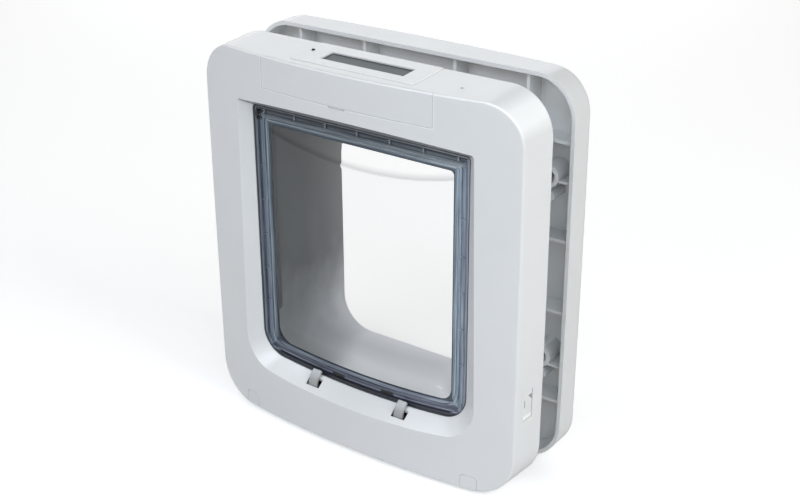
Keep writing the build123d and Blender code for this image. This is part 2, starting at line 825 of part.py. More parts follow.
def build_nodes():
    """Every piece of the pet door by name."""
    nodes = {
        "front_bezel": front_bezel(),
        "chassis": chassis(),
        "tunnel": tunnel(),
        "rear_frame": rear_frame(),
        "control_cover": control_cover(),
        "control_fascia": control_fascia(),
        "control_board": control_board(),
        "display_panel": display_panel(),
        "display_lens": display_lens(),
        "lcd_module": lcd_module(),
        "light_sensor": light_sensor(),
        "battery_contacts": battery_contacts(),
        "antenna_coil": antenna_coil(),
        "front_lock_shaft": front_lock_shaft(),
        "front_lock_motor": front_lock_motor(),
        "rear_lock_bar": rear_lock_bar(),
        "rear_lock_motor": rear_lock_motor(),
        "sill_magnets": sill_magnets(),
        "flap_frame": flap_frame(),
        "flap_pane": flap_pane(),
        "flap_magnets": flap_magnets(),
        "clamp_screws": clamp_screws(),
        "bezel_screws": bezel_screws(),
    }
    for number, x in enumerate(button_x, start=1):
        nodes[f"button_{number}"] = Pos(x, 0, 0) * button()
    handed = {
        "screw_cover": screw_cover(),
        "hinge_pin": hinge_pin(),
        "front_latch": latch(),
        "battery_lower": cell(cell_stack_z),
        "battery_upper": cell(cell_stack_z + cell_length + seam),
    }
    for name, solid in handed.items():
        nodes[f"{name}_right"] = solid
        nodes[f"{name}_left"] = mirror(solid, about=Plane.YZ)
    return nodes


os.makedirs("parts", exist_ok=True)
for name, solid in build_nodes().items():
    export_step(solid, f"parts/{name}.step")
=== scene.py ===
import json
import math

import bmesh
import bpy
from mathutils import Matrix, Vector


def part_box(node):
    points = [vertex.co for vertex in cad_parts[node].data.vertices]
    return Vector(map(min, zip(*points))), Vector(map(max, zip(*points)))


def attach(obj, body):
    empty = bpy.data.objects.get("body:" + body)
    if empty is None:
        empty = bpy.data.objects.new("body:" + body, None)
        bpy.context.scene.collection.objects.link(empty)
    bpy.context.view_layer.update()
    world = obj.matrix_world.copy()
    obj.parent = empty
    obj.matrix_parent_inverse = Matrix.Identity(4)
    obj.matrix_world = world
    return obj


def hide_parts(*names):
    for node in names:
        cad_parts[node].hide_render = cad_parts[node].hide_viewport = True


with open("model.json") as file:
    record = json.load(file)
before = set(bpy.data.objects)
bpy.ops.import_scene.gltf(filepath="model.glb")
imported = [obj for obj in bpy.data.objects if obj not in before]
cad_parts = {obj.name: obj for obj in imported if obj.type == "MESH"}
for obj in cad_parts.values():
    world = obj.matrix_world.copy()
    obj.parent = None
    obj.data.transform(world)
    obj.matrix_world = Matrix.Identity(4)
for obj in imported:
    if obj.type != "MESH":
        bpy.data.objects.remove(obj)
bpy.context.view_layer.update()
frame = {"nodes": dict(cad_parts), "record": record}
nodes = frame["nodes"]

# Shades
WHITE = (0.80, 0.80, 0.80)
# Painted highlight colour, on the upper edges, round the cover's seam and on the catches' ramps
PALE = (0.97, 0.97, 0.965)
# Painted light: paler white inside the rear frame's hollow and on its lip
HOLLOW = (0.95, 0.95, 0.945)
# Painted shade under the lintel of the way in
UNDER_LINTEL_SHADE = (0.34, 0.35, 0.37)
SLEEVE = (0.17, 0.175, 0.18)
REAR_FACTOR = 0.93

# Fineness of the plastic's flow, gloss and grain
FLOW_SCALE = 14.0
GLOSS_SCALE = 60.0
GRAIN_SCALE = 2600.0
GRAIN_DEPTH = 0.00003
FLOW_SPREAD = 0.015
GLOSS_SPREAD = 0.04
COAT_ROUGHNESS = 0.12

# A surface faces a direction where that part of its normal is past this
FACES = 0.5

# Places on the door, in metres
DOOR_MIDDLE = 0.1425
EDGE = 0.0006
# Reach of the painted highlight round the cover's seam
SEAM_HIGHLIGHT_REACH = 0.0009
LINTEL_REACH = 0.012
HOLLOW_REACH = -0.002
SLEEVE_HALF = 0.0925
SLEEVE_LOW = 0.028
SLEEVE_HIGH = 0.2425
TUNNEL_FLOOR = 0.029
TUNNEL_BACK = 0.055
# Height over which the painted light on the tunnel's floor fades, and how unevenly its edge runs
TUNNEL_FLOOR_LIGHT = 0.075
UNEVEN_REACH = 0.010

# Places on the flap
FLAP_HALF = 0.088
FLAP_LOW = 0.045
FLAP_HIGH = 0.2416
SILL_BOW = 0.0067
RIM = 0.012
TICK_SIDE = 0.0085
TICK_PITCH = (FLAP_HALF - TICK_SIDE) / 3
TICK_HALF = 0.0005
TICK_DROP = 0.0032
TICK_REACH = 0.0016
TICK_LEAN = 0.25
PIN_SIDE = 0.085
PIN_HIGH = 0.2356
PIN_RADIUS = 0.0028
PIN_SQUEEZE = 0.6

# The pane and its moulded arc
PANE_FRONT = -0.04005
PANE_BACK = -0.03765
PANE_HALF = 0.0775
PANE_LOW = 0.0551
PANE_HIGH = 0.2310
PANE_CORNER = 0.0125
PANE_TOP_CORNER = 0.003
PANE_COLUMNS = 96
PLAIN_ROWS = 6
STEP_ROWS = 10
ARC_LOW = 0.2121
ARC_RADIUS = 0.265
ARC_RISE = 0.0004
ARC_STEP = 0.0024
ARC_SHADE = 0.005
ARC_FADE = 0.0006
ARC_FADE_SIDE = 0.0060
ARC_FADE_TOP = 0.0040
SAME_POINT = 1e-6

# The latches in the sill
LOCK_Y = -0.03865
LOCK_Z = 0.0391
LATCH_SIDE = 0.0379
LATCH_SHIFT = 0.0003
LATCH_HALF = 0.0036
LATCH_RADIUS = 0.0108
LATCH_THICK = 0.0024
LATCH_TIP = 116.0
LATCH_SWEEP = 84.0
LATCH_STEPS = 14
LATCH_EDGE = 0.0004
# Heights over which painted shade darkens the latch's front
LATCH_DARK = 0.004
LATCH_LIGHT = 0.0105

# The catches at the sides, with painted shade for the notch and the slot and a painted highlight for the
# ramp: each mark is its ends along the window, its ends up it and its shade
CATCH_SIDE = 0.125
CATCH_Y = -0.03625
CATCH_DEPTH = 0.0105
CATCH_Z = 0.0615
CATCH_HEIGHT = 0.022
RAMP_HIGHLIGHT = ((0.05, 0.95), (0.02, 0.16), PALE)
SLOT_SHADE = ((0.12, 0.24), (0.45, 0.70), (0.40, 0.40, 0.40))
NOTCH_SHADE = ((0.50, 0.95), (0.50, 0.82), (0.27, 0.27, 0.27))
NOTCH_SLOPE = 0.5
NOTCH_CUT = 1.10

# Small things on the top
LENS_BACK_SHADE = 0.0018
LENS_FRONT_SHADE = 0.0008
LENS_LEFT_SHADE = 0.0010
SENSOR_RADIUS = 0.0011
SENSOR_SINK = 0.0002
SENSOR_CORNERS = 24
SENSOR_EDGE = 0.0003
PANEL_TOP = 0.2855
TOP = 0.285
MARK_SINK = 0.0001
MARK_RISE = 0.00005
MARK = [(0.0790, -0.0398), (0.0816, -0.0398), (0.0803, -0.0419)]

# Fineness of the streaks in the rim
STREAKS_ACROSS = 900.0
STREAKS_ALONG = 26.0

# Shades across the rim from its outer edge at 0 to its inner edge at 1: the rim's tint, with painted shade
# in its dark bands and painted highlights in its pale ones
DARK = (0.045, 0.055, 0.075)
SLATE = (0.12, 0.14, 0.185)
MID = (0.19, 0.225, 0.27)
SIDE_BANDS = [
    (0.00, (0.18, 0.20, 0.24)), (0.08, (0.18, 0.20, 0.24)), (0.13, SLATE), (0.26, SLATE), (0.36, MID),
    (0.56, MID), (0.64, (0.27, 0.32, 0.38)), (0.76, (0.27, 0.32, 0.38)), (0.84, (0.14, 0.18, 0.21)),
    (0.92, (0.14, 0.18, 0.21)), (0.95, DARK), (1.0, DARK),
]
TOP_BANDS = [
    (0.00, (0.17, 0.185, 0.20)), (0.07, (0.14, 0.155, 0.17)), (0.10, (0.025, 0.031, 0.042)),
    (0.20, (0.035, 0.043, 0.058)), (0.26, (0.085, 0.10, 0.125)), (0.40, (0.10, 0.12, 0.14)),
    (0.48, (0.19, 0.215, 0.24)), (0.66, (0.21, 0.24, 0.27)), (0.74, (0.34, 0.385, 0.43)),
    (0.82, (0.22, 0.255, 0.29)), (0.89, (0.065, 0.085, 0.11)), (1.0, (0.08, 0.10, 0.12)),
]
BOTTOM_BANDS = [
    (0.00, (0.022, 0.024, 0.033)), (0.22, (0.04, 0.043, 0.058)), (0.30, (0.24, 0.26, 0.33)),
    (0.38, (0.10, 0.11, 0.15)), (0.58, (0.10, 0.11, 0.15)), (0.68, (0.17, 0.19, 0.24)),
    (0.84, (0.19, 0.215, 0.265)), (0.88, (0.27, 0.30, 0.36)), (0.93, DARK), (1.0, DARK),
]

# Shades up the pane, across the step of its arc
ARC_BANDS = [
    (0.0, (0.925, 0.935, 0.94)), (0.10, (0.925, 0.935, 0.94)), (0.18, (0.64, 0.65, 0.66)),
    (0.40, (0.74, 0.75, 0.76)), (1.0, (0.965, 0.97, 0.97)),
]
CUT_EDGE = (0.04, 0.05, 0.06)

# Studio and camera
MIDDLE = (0.0, 0.0, 0.14)
WORLD_COLOUR = (1.0, 0.96, 0.84)
WORLD_STRENGTH = 0.26
FLOOR_SIZE = 12.0
FLOOR_DROP = 0.0002
FLOOR_GREY = (0.82, 0.82, 0.82)
FLOOR_GLOW = 0.45
PHOTO_WIDTH = 800.0
FOCAL_PIXELS = 1380.09
SENSOR_WIDTH = 36.0
CAMERA_PLACE = (0.517266, -0.716542, 0.552625)
CAMERA_DEGREES = (64.8435, 0.3326, 35.7123)
CAMERA_SHIFT = (0.0073, -0.0005)


def tint(colour, factor):
    return tuple(part * factor for part in colour)


class Graph:
    """A material's node tree with a Principled shader."""

    def __init__(self, name):
        self.material = bpy.data.materials.new(name)
        self.material.use_nodes = True
        self.tree = self.material.node_tree
        self.shader = self.tree.nodes["Principled BSDF"]
        self.place = self.add("ShaderNodeTexCoord").outputs["Object"]

    def add(self, kind, **values):
        node = self.tree.nodes.new(kind)
        for key, value in values.items():
            setattr(node, key, value)
        return node

    def link(self, source, target):
        self.tree.links.new(source, target)

    def set(self, **values):
        for key, value in values.items():
            self.shader.inputs[key.replace("_", " ")].default_value = value

    def colour(self, source):
        self.link(source, self.shader.inputs["Base Color"])

    # Numbers
    def math(self, operation, first, second=0.0):
        node = self.add("ShaderNodeMath", operation=operation)
        for socket, value in zip(node.inputs, (first, second)):
            if isinstance(value, (int, float)):
                socket.default_value = value
            else:
                self.link(value, socket)
        return node.outputs[0]

    def below(self, value, limit):
        return self.math("LESS_THAN", value, limit)

    def above(self, value, limit):
        return self.math("GREATER_THAN", value, limit)

    def between(self, value, low, high):
        return self.product(self.above(value, low), self.below(value, high))

    def near(self, value, place, reach):
        return self.below(self.math("ABSOLUTE", self.math("SUBTRACT", value, place)), reach)

    def product(self, first, *others):
        for other in others:
            first = self.math("MULTIPLY", first, other)
        return first

    def span(self, value, low, high, start=0.0, end=1.0):
        """The value's range from start to end, spread from low to high."""
        node = self.add("ShaderNodeMapRange")
        node.inputs["From Min"].default_value = start
        node.inputs["From Max"].default_value = end
        node.inputs["To Min"].default_value = low
        node.inputs["To Max"].default_value = high
        self.link(value, node.inputs["Value"])
        return node.outputs["Result"]

    def noise(self, scale, detail=2.0, roughness=0.5, place=None):
        node = self.add("ShaderNodeTexNoise")
        node.inputs["Scale"].default_value = scale
        node.inputs["Detail"].default_value = detail
        node.inputs["Roughness"].default_value = roughness
        self.link(place or self.place, node.inputs["Vector"])
        return node.outputs["Fac"]

    # Places and directions
    def parts(self, vector):
        node = self.add("ShaderNodeSeparateXYZ")
        self.link(vector, node.inputs[0])
        return node.outputs

    def axes(self):
        """The place on the object along x, y and z, in metres."""
        return self.parts(self.place)

    def facing(self):
        """The three parts of the surface's direction in the world, where a pose turns them too."""
        return self.parts(self.add("ShaderNodeNewGeometry").outputs["Normal"])

    def vector(self, *values):
        node = self.add("ShaderNodeCombineXYZ")
        for socket, value in zip(node.inputs, values):
            self.link(value, socket)
        return node.outputs[0]

    # Colours
    def flat(self, colour):
        node = self.add("ShaderNodeRGB")
        node.outputs[0].default_value = (*colour, 1.0)
        return node.outputs[0]

    def bands(self, value, stops):
        """Colour bands over the value's range from 0 to 1, given as (position, colour) pairs."""
        node = self.add("ShaderNodeValToRGB")
        elements = node.color_ramp.elements
        while len(elements) < len(stops):
            elements.new(1.0)
        for element, (position, colour) in zip(elements, stops):
            element.position = position
            element.color = (*colour, 1.0)
        self.link(value, node.inputs["Fac"])
        return node.outputs["Color"]

    def ramp(self, value, low, high, start=0.0, end=1.0):
        """One colour that turns into another between two values."""
        return self.bands(value, [(start, low), (end, high)])

    def multiply(self, first, second):
        """The product of two colours."""
        node = self.add("ShaderNodeVectorMath", operation="MULTIPLY")
        self.link(first, node.inputs[0])
        self.link(second, node.inputs[1])
        return node.outputs[0]

    def mix(self, share, first, second):
        """The first colour where the share is 0, the second where it is 1."""
        node = self.add("ShaderNodeMix", data_type="RGBA")
        self.link(share, node.inputs["Factor"])
        self.link(first, node.inputs["A"])
        self.link(second, node.inputs["B"])
        return node.outputs["Result"]

    # Surface of moulded plastic
    def flow(self, colour, spread):
        """The colour, varied a little by the flow of the moulding."""
        return self.ramp(
            self.noise(FLOW_SCALE, 3.0), tint(colour, 1 - spread), tint(colour, 1 + spread), 0.3, 0.7
        )

    def gloss(self, low, high):
        """Uneven roughness between two values."""
        clouds = self.noise(GLOSS_SCALE, 4.0)
        self.link(self.span(clouds, low, high, 0.3, 0.7), self.shader.inputs["Roughness"])

    def bump(self, height, strength, distance):
        node = self.add("ShaderNodeBump")
        node.inputs["Strength"].default_value = strength
        node.inputs["Distance"].default_value = distance
        self.link(height, node.inputs["Height"])
        self.link(node.outputs["Normal"], self.shader.inputs["Normal"])
        return node

    def grain(self, strength=0.25):
        """Fine texture of a spark-finished mould."""
        return self.bump(self.noise(GRAIN_SCALE, 1.5), strength, GRAIN_DEPTH)

    def round_edges(self, bump, radius):
        """Soft light along every sharp edge, over the bump of the surface."""
        node = self.add("ShaderNodeBevel", samples=6)
        node.inputs["Radius"].default_value = radius
        self.link(node.outputs["Normal"], bump.inputs["Normal"])
        self.link(node.outputs["Normal"], self.shader.inputs["Coat Normal"])


# Materials
def moulded(name, colour, roughness, grain=0.25):
    """Plain moulded plastic."""
    g = Graph(name)
    g.colour(g.flow(colour, FLOW_SPREAD))
    g.gloss(roughness - GLOSS_SPREAD, roughness + GLOSS_SPREAD)
    g.grain(grain)
    return g.material


def metal(name, colour, roughness):
    """Brushed or plated metal."""
    g = Graph(name)
    brush = g.add("ShaderNodeMapping")
    brush.inputs["Scale"].default_value = (30.0, 900.0, 900.0)
    g.link(g.place, brush.inputs["Vector"])
    lines = g.noise(1.0, 3.0, place=brush.outputs["Vector"])
    g.colour(g.ramp(lines, tint(colour, 0.92), tint(colour, 1.06), 0.3, 0.7))
    g.link(g.span(lines, roughness - 0.06, roughness + 0.08, 0.3, 0.7), g.shader.inputs["Roughness"])
    g.bump(lines, 0.15, GRAIN_DEPTH)
    g.set(Metallic=1.0)
    return g.material


def shell(name, shades):
    """Glossy white shell with rounded edges; the shades function gives its colour on the graph."""
    g = Graph(name)
    g.colour(g.multiply(shades(g), g.flow((1.0, 1.0, 1.0), FLOW_SPREAD)))
    g.gloss(0.34, 0.42)
    g.round_edges(g.grain(), EDGE)
    g.set(Coat_Weight=0.5, Coat_Roughness=COAT_ROUGHNESS)
    return g.material


def upper_edge_highlight(g, shade):
    """The shade, with a painted highlight on the rounded upper edges."""
    up = g.facing()[2]
    rise = g.span(up, 0.0, 1.0, 0.20, 0.50)
    fall = g.span(up, 1.0, 0.0, 0.80, 0.97)
    return g.mix(g.product(rise, fall), shade, g.flat(PALE))


def plain_shades(g):
    return upper_edge_highlight(g, g.flat(WHITE))


def front_shades(g):
    """White, with painted highlights along the cover's seam and on the upper edges, and painted shade under
    the lintel of the way in.
    """
    x, _, z = g.axes()
    _, to_back, up = g.facing()
    # Painted shade on the downward faces under the lintel
    lintel = g.product(
        g.below(up, -FACES), g.near(z, FLAP_HIGH, LINTEL_REACH), g.near(x, 0.0, FLAP_HALF + LINTEL_REACH)
    )
    shade = g.mix(lintel, g.flat(WHITE), g.flat(UNDER_LINTEL_SHADE))
    # Painted highlight on the lip round the cover's seam
    (left, _, low), (right, _, _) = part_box("control_cover")
    beside = g.near(x, (left + right) / 2, (right - left) / 2 + SEAM_HIGHLIGHT_REACH)
    seam = g.product(beside, g.above(z, low - SEAM_HIGHLIGHT_REACH), g.below(to_back, -FACES))
    return upper_edge_highlight(g, g.mix(seam, shade, g.flat(PALE)))


def rear_shades(g):
    """White, a little darker outside, with painted light making it paler inside the hollow and on its lip.
    """
    x, _, z = g.axes()
    to_right, to_back, up = g.facing()
    rise = g.math("SUBTRACT", z, DOOR_MIDDLE)
    outward = g.math("ADD", g.product(x, to_right), g.product(rise, up))
    # Painted light on the hollow's inward faces and on the front-facing lip
    inside = g.math("MAXIMUM", g.below(outward, HOLLOW_REACH), g.below(to_back, -FACES))
    return g.mix(inside, g.flat(tint(WHITE, REAR_FACTOR)), g.flat(HOLLOW))


def rim_depth(g):
    """Distances of a point of the flap inside its sides, its top and its bowed bottom."""
    x, _, z = g.axes()
    bow = g.product(g.product(x, x), SILL_BOW / FLAP_HALF**2)
    side = g.math("SUBTRACT", FLAP_HALF, g.math("ABSOLUTE", x))
    top = g.math("SUBTRACT", FLAP_HIGH, z)
    bottom = g.math("SUBTRACT", g.math("SUBTRACT", z, FLAP_LOW), bow)
    return side, top, bottom


def rim_bands(g, side, top, bottom):
    """The dark and pale lines along each side of the rim, painted shade and painted highlights over its
    tint, which meet at its corners.
    """
    along_side, along_top, along_bottom = [
        g.bands(g.math("DIVIDE", depth, RIM), stops)
        for depth, stops in ((side, SIDE_BANDS), (top, TOP_BANDS), (bottom, BOTTOM_BANDS))
    ]
    upper = g.mix(g.below(top, side), along_side, along_top)
    return g.mix(g.below(bottom, side), upper, along_bottom)


def rim_material():
    """Tinted rim: its dark and pale lines of painted shade and painted highlights along its lips and beads,
    with streaks along them.
    """
    g = Graph("flap_rim")
    x, _, z = g.axes()
    side, top, bottom = rim_depth(g)
    inside = g.math("MINIMUM", side, g.math("MINIMUM", top, bottom))
    along = g.math("ADD", x, z)
    place = g.vector(g.product(inside, STREAKS_ACROSS), g.product(along, STREAKS_ALONG), x)
    grain = g.noise(1.0, 3.0, 0.6, place=place)
    streaks = g.ramp(grain, (0.72, 0.73, 0.75), (1.5, 1.48, 1.45), 0.40, 0.68)
    # Painted light: the rim paler towards its right side
    across = g.span(x, 0.0, 1.0, -FLAP_HALF, FLAP_HALF)
    paler = g.ramp(across, (1.0, 1.0, 1.0), (1.75, 1.72, 1.68), 0.45, 1.0)
    colour = g.multiply(g.multiply(rim_bands(g, side, top, bottom), streaks), paler)

    # Painted highlights on the ends of the small ribs along the top
    leaning = g.math("ADD", x, g.product(top, TICK_LEAN))
    from_rib = g.math("SUBTRACT", TICK_PITCH / 2, g.math("PINGPONG", leaning, TICK_PITCH / 2))
    on_rib = g.above(from_rib, TICK_PITCH / 2 - TICK_HALF)
    tick = g.product(on_rib, g.near(top, TICK_DROP, TICK_REACH))
    colour = g.mix(tick, colour, g.flat((0.50, 0.56, 0.60)))

    # Painted shade with pale speckles, standing in for the left pin seen through the rim
    far_x = g.math("ADD", x, PIN_SIDE)
    far_z = g.product(g.math("SUBTRACT", z, PIN_HIGH), PIN_SQUEEZE)
    distance = g.math("ADD", g.product(far_x, far_x), g.product(far_z, far_z))
    speckle = g.ramp(g.noise(900.0, 2.0, 0.7), (0.006, 0.009, 0.014), (0.16, 0.19, 0.21), 0.48, 0.70)
    g.colour(g.mix(g.below(distance, PIN_RADIUS**2), colour, speckle))

    g.link(g.span(g.noise(50.0, 3.0), 0.10, 0.22, 0.4, 0.7), g.shader.inputs["Roughness"])
    g.bump(g.noise(220.0, 2.0), 0.08, 0.0002)
    g.set(Transmission_Weight=0.08, IOR=1.45)
    return g.material


def catch_shades(g):
    """White, with painted shade for the notch and the slot and a painted highlight for the ramp of each side
    catch.
    """
    x, y, z = g.axes()
    along = g.span(y, 0.0, 1.0, CATCH_Y, CATCH_Y + CATCH_DEPTH)
    up = g.span(z, 0.0, 1.0, CATCH_Z, CATCH_Z + CATCH_HEIGHT)
    outer = g.above(g.math("ABSOLUTE", x), CATCH_SIDE)
    beyond_slope = g.above(g.math("ADD", g.product(along, NOTCH_SLOPE), up), NOTCH_CUT)
    shade = g.flat(WHITE)
    for mark in (RAMP_HIGHLIGHT, SLOT_SHADE, NOTCH_SHADE):
        across, height, colour = mark
        share = g.product(outer, g.between(along, *across), g.between(up, *height))
        if mark is NOTCH_SHADE:
            share = g.product(share, beyond_slope)
        shade = g.mix(share, shade, g.flat(colour))
    return shade


def chassis_material():
    """White back half of the front unit, with a dark grey sleeve round the flap."""
    g = Graph("chassis_grey")
    x, _, z = g.axes()
    sleeve = g.product(g.near(x, 0.0, SLEEVE_HALF), g.between(z, SLEEVE_LOW, SLEEVE_HIGH))
    shade = g.mix(sleeve, catch_shades(g), g.flat(SLEEVE))
    g.colour(g.multiply(shade, g.flow((1.0, 1.0, 1.0), 0.02)))
    g.gloss(0.41, 0.49)
    g.grain()
    return g.material


def tunnel_material():
    """Grey tunnel, with painted light making it paler on its floor and towards its open end."""
    g = Graph("tunnel_grey")
    _, y, z = g.axes()
    # Painted light: the floor paler than the walls, with an uneven edge, and the tunnel paler towards its
    # open end
    uneven_edge = g.span(g.noise(35.0, 4.0, 0.6), -UNEVEN_REACH, UNEVEN_REACH, 0.3, 0.7)
    height = g.span(g.math("ADD", z, uneven_edge), 0.0, 1.0, TUNNEL_FLOOR, TUNNEL_FLOOR + TUNNEL_FLOOR_LIGHT)
    floor_light = g.ramp(height, (0.58, 0.585, 0.60), (0.20, 0.205, 0.21), 0.15, 1.0)
    depth = g.span(y, 0.0, 1.0, 0.0, TUNNEL_BACK)
    open_end_light = g.ramp(depth, (1.0, 1.0, 1.0), (1.7, 1.68, 1.70), 0.2, 1.0)
    g.colour(g.multiply(floor_light, open_end_light))
    g.gloss(0.33, 0.42)
    g.grain()
    return g.material


def pane_material():
    """Clear pane with dark cut edges, lighter above its arc, with the soft shade of the step."""
    g = Graph("flap_clear")
    x, _, z = g.axes()
    rise = g.math("SUBTRACT", ARC_LOW + ARC_RADIUS, z)
    squares = g.math("ADD", g.product(x, x), g.product(rise, rise))
    above = g.math("SUBTRACT", ARC_RADIUS, g.math("SQRT", squares))
    shade = g.bands(g.span(above, 0.0, 1.0, -ARC_SHADE / 4, ARC_SHADE), ARC_BANDS)
    cut = g.near(g.facing()[1], 0.0, FACES)
    g.colour(g.mix(cut, shade, g.flat(CUT_EDGE)))
    g.set(Roughness=0.01, Transmission_Weight=1.0, IOR=1.12)
    return g.material


def display_material(box):
    """Dark window of the display, with painted shade along the edges of its frame."""
    g = Graph("display_window")
    x, y, _ = g.axes()
    (left, front, _), (_, back, _) = box
    at_back = g.above(y, back - LENS_BACK_SHADE)
    at_front = g.below(y, front + LENS_FRONT_SHADE)
    at_left = g.below(x, left + LENS_LEFT_SHADE)
    border = g.math("MAXIMUM", at_back, g.math("MAXIMUM", at_front, at_left))
    flow = g.ramp(g.noise(60.0, 2.0), (0.026, 0.042, 0.050), (0.036, 0.058, 0.066), 0.35, 0.65)
    g.colour(g.mix(border, flow, g.flat((0.005, 0.012, 0.017))))
    g.set(Roughness=0.3, Specular_IOR_Level=0.25)
    return g.material


def latch_material():
    """Grey latch, with painted shade down its front."""
    g = Graph("latch_grey")
    height = g.span(g.axes()[2], 0.0, 1.0, LOCK_Z + LATCH_DARK, LOCK_Z + LATCH_LIGHT)
    g.colour(g.ramp(height, (0.42, 0.42, 0.42), (0.68, 0.685, 0.70), 0.1, 0.95))
    g.gloss(0.31, 0.39)
    g.grain(0.2)
    return g.material


materials = {
    "shell_white": shell("shell_white", plain_shades),
    "chassis_grey": chassis_material(),
    "tunnel_grey": tunnel_material(),
    "fascia_grey": moulded("fascia_grey", (0.30, 0.31, 0.32), 0.55),
    "board_green": moulded("board_green", (0.02, 0.12, 0.05), 0.4),
    "display_window": display_material(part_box("display_lens")),
    "display_dark": moulded("display_dark", (0.03, 0.045, 0.05), 0.35, grain=0.1),
    "contact_metal": metal("contact_metal", (0.70, 0.68, 0.60), 0.35),
    "coil_copper": moulded("coil_copper", (0.45, 0.16, 0.05), 0.4),
    "steel": metal("steel", (0.58, 0.58, 0.59), 0.32),
    "motor_black": moulded("motor_black", (0.02, 0.02, 0.022), 0.5),
    "magnet_black": moulded("magnet_black", (0.03, 0.03, 0.032), 0.45),
    "latch_grey": latch_material(),
    "flap_rim": rim_material(),
    "flap_clear": pane_material(),
    "button_grey": moulded("button_grey", (0.18, 0.18, 0.19), 0.6),
    "cell_wrap": moulded("cell_wrap", (0.03, 0.03, 0.035), 0.3),
}
slots = {row["node"]: row["material_slot"] for row in frame["record"]["subparts"]}
own_shells = {
    "front_bezel": shell("front_white", front_shades),
    "rear_frame": shell("rear_white", rear_shades),
}
for name, node in nodes.items():
    node.data.materials.clear()
    node.data.materials.append(own_shells.get(name, materials[slots[name]]))


# Pieces that are new or take the place of plainer solids
def new_piece(name, mesh_builder, slot, body):
    """A piece from a mesh filled by the builder function, with its material and body."""
    form = bmesh.new()
    mesh_builder(form)
    bmesh.ops.recalc_face_normals(form, faces=form.faces)
    mesh = bpy.data.meshes.new(name)
    form.to_mesh(mesh)
    form.free()
    piece = bpy.data.objects.new(name, mesh)
    bpy.context.scene.collection.objects.link(piece)
    piece.data.materials.append(materials[slot])
    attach(piece, body)
    return piece


def soften(piece, width):
    """Round the sharp edges."""
    bevel = piece.modifiers.new("edge", "BEVEL")
    bevel.width = width
    bevel.segments = 2
    bevel.limit_method = "ANGLE"
    piece.modifiers.new("normals", "WEIGHTED_NORMAL")
    for face in piece.data.polygons:
        face.use_smooth = True


def step(value, low, high):
    """Smooth rise from 0 at the low value to 1 at the high one."""
    share = min(1.0, max(0.0, (value - low) / (high - low)))
    return share * share * (3 - 2 * share)


def pane_column(x):
    """Lowest, arc and highest height of the pane at a place across it."""

    def turn(radius):
        corner = max(0.0, abs(x) - (PANE_HALF - radius))
        return radius - math.sqrt(max(0.0, radius**2 - corner**2))

    low = PANE_LOW + SILL_BOW * (x / FLAP_HALF) ** 2 + turn(PANE_CORNER)
    high = PANE_HIGH - turn(PANE_TOP_CORNER)
    arc = ARC_LOW + ARC_RADIUS - math.sqrt(ARC_RADIUS**2 - x * x)
    return low, min(arc, high), high


def pane_heights(x):
    """Height of the arc, and the heights of the pane's rows, at a place across it."""
    low, arc, high = pane_column(x)
    below, above = arc - ARC_STEP, arc + ARC_STEP
    rows = [low + (below - low) * i / PLAIN_ROWS for i in range(PLAIN_ROWS)]
    rows += [below + 2 * ARC_STEP * i / STEP_ROWS for i in range(STEP_ROWS)]
    rows += [above + (high - above) * i / PLAIN_ROWS for i in range(PLAIN_ROWS + 1)]
    return arc, [min(max(z, low), high) for z in rows]


def arc_rise(x, z, arc):
    """How far the front stands out above the arc, fading towards the rim."""
    side = step(FLAP_HALF - RIM - abs(x), ARC_FADE, ARC_FADE_SIDE)
    top = step(FLAP_HIGH - RIM - z, ARC_FADE, ARC_FADE_TOP)
    return ARC_RISE * step(z, arc - ARC_STEP, arc + ARC_STEP) * side * top


def pane_form(form):
    """Plate with its upper part raised above the arc, by a soft step."""
    front, back = [], []
    for i in range(PANE_COLUMNS + 1):
        x = PANE_HALF * math.sin(math.pi * (i / PANE_COLUMNS - 0.5))
        arc, rows = pane_heights(x)
        front.append([form.verts.new((x, PANE_FRONT - arc_rise(x, z, arc), z)) for z in rows])
        back.append([form.verts.new((x, PANE_BACK, z)) for z in rows])
    last = len(front[0]) - 1
    for i in range(PANE_COLUMNS):
        for j in range(last):
            form.faces.new((front[i][j], front[i + 1][j], front[i + 1][j + 1], front[i][j + 1]))
            form.faces.new((back[i][j], back[i][j + 1], back[i + 1][j + 1], back[i + 1][j]))
        for j in (0, last):
            form.faces.new((front[i][j], front[i + 1][j], back[i + 1][j], back[i][j]))
    for i in (0, PANE_COLUMNS):
        for j in range(last):
            form.faces.new((front[i][j], front[i][j + 1], back[i][j + 1], back[i][j]))
    bmesh.ops.remove_doubles(form, verts=form.verts, dist=SAME_POINT)


pane = new_piece("clear_pane", pane_form, "flap_clear", "flap")
for face in pane.data.polygons:
    face.use_smooth = abs(face.normal.y) > FACES
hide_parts("flap_pane")


def latch_form(middle):
    """Curved hook round the lock's shaft, extruded across the latch."""

    def build(form):
        turns = [math.radians(LATCH_TIP + LATCH_SWEEP * i / LATCH_STEPS) for i in range(LATCH_STEPS + 1)]
        outer = LATCH_RADIUS + LATCH_THICK / 2
        inner = LATCH_RADIUS - LATCH_THICK / 2
        profile = [(outer * math.cos(a), outer * math.sin(a)) for a in turns]
        profile += [(inner * math.cos(a), inner * math.sin(a)) for a in reversed(turns)]
        left, right = [
            [form.verts.new((x, LOCK_Y + y, LOCK_Z + z)) for y, z in profile]
            for x in (middle - LATCH_HALF, middle + LATCH_HALF)
        ]
        count = len(profile)
        for i in range(count):
            j = (i + 1) % count
            form.faces.new((left[i], left[j], right[j], right[i]))
        for i in range(LATCH_STEPS):
            k = count - 2 - i
            for ring in (left, right):
                form.faces.new((ring[i], ring[i + 1], ring[k], ring[k + 1]))

    return build


